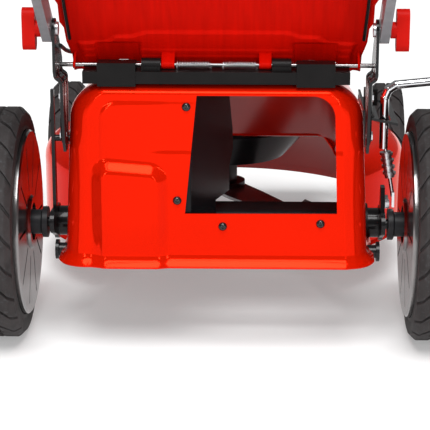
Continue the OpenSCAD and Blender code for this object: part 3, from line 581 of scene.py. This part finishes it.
def apron_part():
    """The deck's front: from the round housing forward and down, with rounded edges at both ends."""
    spine = rounded_path([(0, 478, 178), (0, 561, 169), (0, 627, 128), (0, 638, 80)], 26.0, 9)
    edge_x = np.array([170.5, 173.7, 175.5, 176.0, 176.0, 176.0])
    edge_drop = np.array([0.6, 2.0, 5.0, 9.0, 18.0, 30.0])
    across = np.concatenate([-edge_x[::-1], np.linspace(-167, 167, 41), edge_x])
    drop = np.concatenate([edge_drop[::-1], np.zeros(41), edge_drop])
    apron = []
    for _, y, z in spine:
        depth = np.where(drop > 9, drop * np.interp(y, [478, 560, 638], [0.9, 1.35, 0.3]), drop)
        back = np.interp(y, [560, 638], [0.0, 0.8])
        apron.append(np.stack([across, y - depth * back, z - depth * np.sqrt(1 - back * back)], 1))
    apron = np.array(apron)
    inside = apron[..., 2] < bell_height(apron[..., 0], apron[..., 1]) - 5.0
    cell = inside[:, :-1] & inside[:, 1:]
    keep = ~(cell[:-1] & cell[1:])
    return apron.reshape(-1, 3), grid_faces(*apron.shape[:2], keep=keep)


def make_deck():
    """The deck's sheet, the wall's screws, the liner's edge in the opening and the rear axle's cover."""
    # The sheet's inner faces take deck_inner, the deck paint darkened as painted shade.
    piece("deck_shell", [chute_part(), housing_part(), apron_part()], "deck_paint", "deck", ["deck_housing"],
          sheet=SHEET, sharp=40, inner="deck_inner")
    heads = []
    for x, z in SCREWS:
        verts, faces = lathe(SCREW_HEAD, (0, 0, 0), 28)
        face_y = WALL_Y - float(wall_relief(np.array(x), np.array(z)))
        heads.append((np.stack([x + verts[:, 0], face_y + verts[:, 2], z + verts[:, 1]], 1), faces))
    piece("wall_screws", heads, "screw_black", "deck", ["chute_screws"], sharp=50)
    flange = [(-72.8, 152), (-70.8, 152), (-70.8, 316), (-72.8, 316)]
    piece("liner_flange", [prism_x(flange, -50, -29)], "liner_plastic", "deck", bevel=0.4, sharp=30)
    section = rounded_path([(19.5, 114), (19.5, 149.5), (72.5, 149.5), (72.5, 114)], 9.0, 8)
    inner = rounded_path([(70.8, 114), (70.8, 148.2), (21.2, 148.2), (21.2, 114)], 8.0, 8)
    piece("axle_cover", [prism_x(np.concatenate([section, inner]), -172, 172)], "tunnel_plastic", "deck",
          ["axle_tunnel"], sharp=30)


# ---------------------------------------------------------------- flap

HINGE = np.array([0.0, -55.0, 345.0])
FLAP_TURN = math.radians(120.0)
FLAP_W = -20.5
FLAP_LOW = -24.5
FLAP_END = 215.0
NOTCH_END = -12.5
WINDOW_END = -9.5
FLAT_HALF = 158.0
FLAP_BEND_R = 8.0
NOTCHES = [(-137, -90), (-87, -62), (-47, -5), (7, 48), (63, 88), (91, 138)]


def at_flap(points):
    """Flap coordinates (x, along the flap, out of it) to millimetres from the rear axle."""
    x, u, w = np.asarray(points, float).reshape(-1, 3).T
    c, s = math.cos(FLAP_TURN), math.sin(FLAP_TURN)
    return np.stack([x, HINGE[1] + u * c - w * s, HINGE[2] + u * s + w * c], 1)


# Half width by distance from the rod, and how far the raised ledge reaches by distance from the middle
FLAP_HALF = ([FLAP_LOW, 0, 10, 20, 40, 48, 74, 84, 195, 206, FLAP_END],
             [165, 165.5, 168.5, 171, 172.4, 176.8, 176.8, 182, 182, 177, 164])
FLAP_LEDGE = ([0, 80, 85, 96, 117, 121, 126, 157], [31.5, 31, 30, 25.2, 24.2, 20, 16.4, 15])


def flap_section(u, flat):
    """Across the flap at distance u from its rod: X, and each point's distance out of the rod's plane.

    The ledge and its bands stay flat where the hinge bar's two blocks pass as the flap closes.
    """
    half = np.interp(u, *FLAP_HALF)
    deep = 2.0 + 26.0 * smooth((u - 92.0) / 12.0) * (1.0 - smooth((u - 171.0) / 26.0))
    corner = np.radians([15, 35, 55, 75])
    edge = half - FLAP_BEND_R + FLAP_BEND_R * np.sin(corner)
    bend = (FLAP_BEND_R - FLAP_BEND_R * np.cos(corner)) * min(1.0, deep / FLAP_BEND_R)
    cheek = np.linspace(0.0, 1.0, 9)
    right_x = np.concatenate([edge, np.full(len(cheek), half)])
    right_w = np.concatenate([bend, bend[-1] + max(0.2, deep - bend[-1]) * cheek])
    x = flat * (half - FLAP_BEND_R) / FLAT_HALF if u > -8 else flat
    ledge = 3.0 * (1.0 - smooth((u - np.interp(np.abs(x), *FLAP_LEDGE)) / 3.0))
    bands = 0.7 * smooth((9.5 - u) / 2.5) + 0.7 * smooth((1.0 - u) / 2.5)
    ribs = 0.2 * np.sin(x * 0.9) * smooth((u - 60) / 10)
    border = smooth((FLAT_HALF - np.abs(flat)) / 6.0)
    beside_blocks = smooth((np.abs(np.abs(x) - 114.0) - 24.0) / 3.0)
    clear = 1.0 - (1.0 - beside_blocks) * smooth((20.0 - u) / 5.0)
    middle = (ledge + bands) * border * clear + ribs
    w = np.concatenate([right_w[::-1], middle, right_w]) + FLAP_W
    return np.concatenate([-right_x[::-1], x, right_x]), w


def make_flap():
    """The flap's sheet with notches and windows along the rod, its knuckles, and a strip in each crease."""
    u_rows = np.unique(np.concatenate([np.linspace(FLAP_LOW, NOTCH_END, 4), [NOTCH_END, WINDOW_END],
                                       np.linspace(WINDOW_END, 60, 64), np.linspace(60, FLAP_END, 50)]))
    flat = np.linspace(-FLAT_HALF, FLAT_HALF, 130)
    flat = np.unique(np.concatenate([flat, np.array(NOTCHES, float).ravel()]))
    rows = []
    for u in u_rows:
        x, w = flap_section(u, flat)
        rows.append(np.stack([x, np.full(len(x), u), w], 1))
    grid = np.array(rows)
    keep = np.ones((len(rows) - 1, grid.shape[1] - 1), bool)
    middle = (grid[0, :-1, 0] + grid[0, 1:, 0]) / 2
    for start, end in NOTCHES:
        keep[:3, (middle > start) & (middle < end)] = False
    out = np.abs(middle)
    keep[3, (out > 62) & (out < 85) | (out > 100) & (out < 115)] = False
    parts = [(at_flap(grid.reshape(-1, 3)), grid_faces(*grid.shape[:2], keep=keep))]
    piece("flap_shell", parts, "flap_plastic", "flap", ["rear_flap"], sheet=2.0, sharp=42)
    eye = [(4.7 * math.cos(a), 4.7 * math.sin(a)) for a in np.radians(np.linspace(0, 180, 15))]
    web = [(4.0, -19.5), (5.5, -12.0)] + eye + [(-7.0, -4.5), (-11.0, -10.5), (-18.0, -15.5), (-24.3, -19.8)]
    knuckles = []
    for x0, x1 in ((-165, -162), (-63.5, -48), (49, 63.5), (162, 165)):
        verts, faces = prism_x(web, x0, x1)
        knuckles.append((at_flap(verts), faces))
    piece("flap_knuckles", knuckles, "flap_plastic", "flap", bevel=0.9, sharp=30)
    strips = []
    # A thin black strip runs along each crease between the sheet and its cheek.
    for side in (-1, 1):
        route = [(side * 168.5, 24, -16.5), (side * 170.0, 52, -16.0), (side * 171.5, 80, -16.0),
                 (side * 171.5, 196, -16.0)]
        strips.append(tube(at_flap(rounded_path(route, 16.0, 8)), 1.9, 12))
    piece("flap_crease_strips", strips, "hinge_black", "flap", sharp=60)


# ---------------------------------------------------------------- handle brackets


def bracket_reach(z):
    """Rear and front edge of a bracket's sheet at a height."""
    turn = math.sqrt(max(0.0, 12.0 ** 2 - (z - 393.0) ** 2))
    rear = np.interp(z, [247, 262, 336, 345, 387], [-78, -88, -98, -107, -105.4])
    front = np.interp(z, [247, 262, 336, 345, 350, 399], [-62, -52, -42, -40.8, -40, -84.6])
    if z > 387.0:
        rear = -95.0 - turn
        front = min(front, -95.0 + turn)
    return rear, front


def make_brackets():
    """Each bracket's upright sheet: stepped outward above the deck, with two pressed ribs and a round top."""
    low_x, high_x = 174.25, 180.75
    across = np.linspace(0.0, 1.0, 45)
    low = np.linspace(247.0, 322.0, 16)
    joggle = rounded_path([(low_x, 322.0), (low_x, 332.5), (high_x, 336.5), (high_x, 347.0)], 6.0, 8)
    round_top = 393.0 + 12.0 * np.sin(np.linspace(0.0, 1.55, 9))
    path = [(low_x, z) for z in low] + [tuple(p) for p in joggle[1:]]
    path += [(high_x, z) for z in np.append(np.linspace(351.0, 387.0, 9), round_top)]
    for name, side in (("left", -1), ("right", 1)):
        rows = []
        for x, z in path:
            rear, front = bracket_reach(z)
            y = rear + (front - rear) * across
            ribs = np.exp(-((y + 84.0) / 2.4) ** 2) + np.exp(-((y + 58.0) / 2.4) ** 2)
            ribs = 2.0 * ribs * smooth((z - 258.0) / 6.0) * smooth((346.0 - z) / 6.0)
            rows.append(np.stack([side * (x + ribs), y, np.full(len(y), z)], 1))
        grid = np.array(rows)
        parts = [(grid.reshape(-1, 3), grid_faces(*grid.shape[:2]))]
        piece(f"{name}_bracket_sheet", parts, "bracket_black", "deck", [f"{name}_handle_bracket"], sheet=3.3,
              offset=0.0, sharp=40)


# ---------------------------------------------------------------- wheels


TREAD_DEPTH = 3.6
GROOVE = 0.13
STAGGER = 0.5


def tyre_part(x_in, width, radius, bead, lugs, side, axle_y):
    """Sidewalls, chamfered shoulders and a tread of slanted lugs in two staggered rows.

    phase counts lugs round the tyre: each lug follows a groove that takes the first GROOVE of its pitch, and
    the tread's outer half is shifted by STAGGER of a pitch against its inner half.
    """
    edges = [0.0, GROOVE, STAGGER, STAGGER + GROOVE]
    marks = [(e + d) % 1.0 for e in edges for d in (-0.016, 0.016)] + [0.25, 0.38, 0.56, 0.75, 0.88]
    phase = np.concatenate([np.array(sorted(set(marks))) + i for i in range(lugs)])
    wall = [(0.0, bead), (0.0, bead + 2), (0.012, bead + 3.5), (0.012, bead + 6), (0.0, bead + 7.5),
            (0.0, radius - 13), (0.0, radius - 8.5)]
    tread = np.array([0.0, 0.03, 0.075, 0.13, 0.16, 0.19, 0.3, 0.4, 0.46, 0.485])
    # Each point is (place across the width, radius, share of the tread's depth that the grooves cut)
    section = [(a, r, 0.0) for a, r in wall]
    for a in np.concatenate([tread, 1.0 - tread[::-1]]):
        side_gap = min(a, 1.0 - a) * width
        chamfer = 7.0 * max(0.0, 1.0 - side_gap / 7.0)
        section.append((a, radius - chamfer, 1.0 if side_gap > 0.5 else 0.55))
    section += [(1.0 - a, r, 0.0) for a, r in wall[::-1]]
    rings = []
    for a, r, weight in section:
        outward = abs(a - 0.5) * 2.0
        shear = 0.75 * outward ** 1.3
        frac = phase % 1.0
        groove_at = 0.0 if a < 0.5 else STAGGER
        lug = (frac < groove_at + 0.001) | (frac > groove_at + GROOVE - 0.001)
        zigzag = 0.035 * np.abs(((phase * 2.0) % 1.0) * 2.0 - 1.0)
        middle_groove = (np.abs(a - 0.5) < 0.03 + zigzag * 0.5) & (weight > 0)
        low = TREAD_DEPTH * weight * (1.0 - lug.astype(float))
        low = np.where(middle_groove, np.maximum(low, TREAD_DEPTH * 0.8), low)
        angle = (phase + shear) / lugs * 2.0 * math.pi
        y = axle_y + (r - low) * np.cos(angle)
        z = radius + (r - low) * np.sin(angle)
        rings.append(np.stack([np.full(len(phase), side * (x_in + a * width)), y, z], 1))
    faces = grid_faces(len(rings), len(phase), wrap=True)
    if side < 0:
        faces = [f[::-1] for f in faces]
    return np.concatenate(rings), faces


def make_tyres():
    """A tyre in each CAD tyre's box."""
    for end in ("rear", "front"):
        for side_name, side in (("left", -1), ("right", 1)):
            node = f"{end}_{side_name}_tyre"
            low, high = box_mm(node)
            x_in = min(abs(low[0]), abs(high[0]))
            width = high[0] - low[0]
            radius = (high[2] - low[2]) / 2
            bead = 113.0 if end == "rear" else 74.0
            lugs = 24 if end == "rear" else 18
            part = tyre_part(x_in, width, radius, bead, lugs, side, (low[1] + high[1]) / 2)
            body = f"{end}_{side_name}_wheel"
            piece(f"{end}_{side_name}_tread", [part], "tyre_rubber", body, [node], sharp=28)


# ---------------------------------------------------------------- springs

COIL_R = 5.4
COIL_TURNS = 13
WIRE_R = 0.8


def make_springs():
    """The two coil springs on the flap's rod, each with a leg down at both ends."""
    parts = []
    for x0, x1 in ((-45.0, -6.0), (8.0, 47.0)):
        t = np.linspace(0.0, 1.0, COIL_TURNS * 20 + 1)
        angle = t * COIL_TURNS * 2.0 * math.pi
        y = HINGE[1] - COIL_R * np.cos(angle)
        coil = np.stack([x0 + (x1 - x0) * t, y, HINGE[2] + COIL_R * np.sin(angle)], 1)
        start = coil[0] + np.array([[0.0, 2.0, -17.0], [0.0, 1.0, -9.0]])
        end = coil[-1] + np.array([[0.0, 1.0, -9.0], [0.0, 2.0, -17.0]])
        parts.append(tube(np.concatenate([start, coil, end]), WIRE_R, 8))
    piece("spring_coils", parts, "spring_steel", "deck", ["flap_springs"], sharp=60)


# ---------------------------------------------------------------- the whole scene


def dress_cad_nodes():
    """Every CAD node gets its slot's finish."""
    for part in frame["record"]["subparts"]:
        obj = NODES[part["node"]]
        obj.data.materials.clear()
        obj.data.materials.append(finish(part["material_slot"]))


make_camera()
make_studio()
make_floor()
dress_cad_nodes()
make_deck()
make_flap()
make_brackets()
make_tyres()
make_springs()
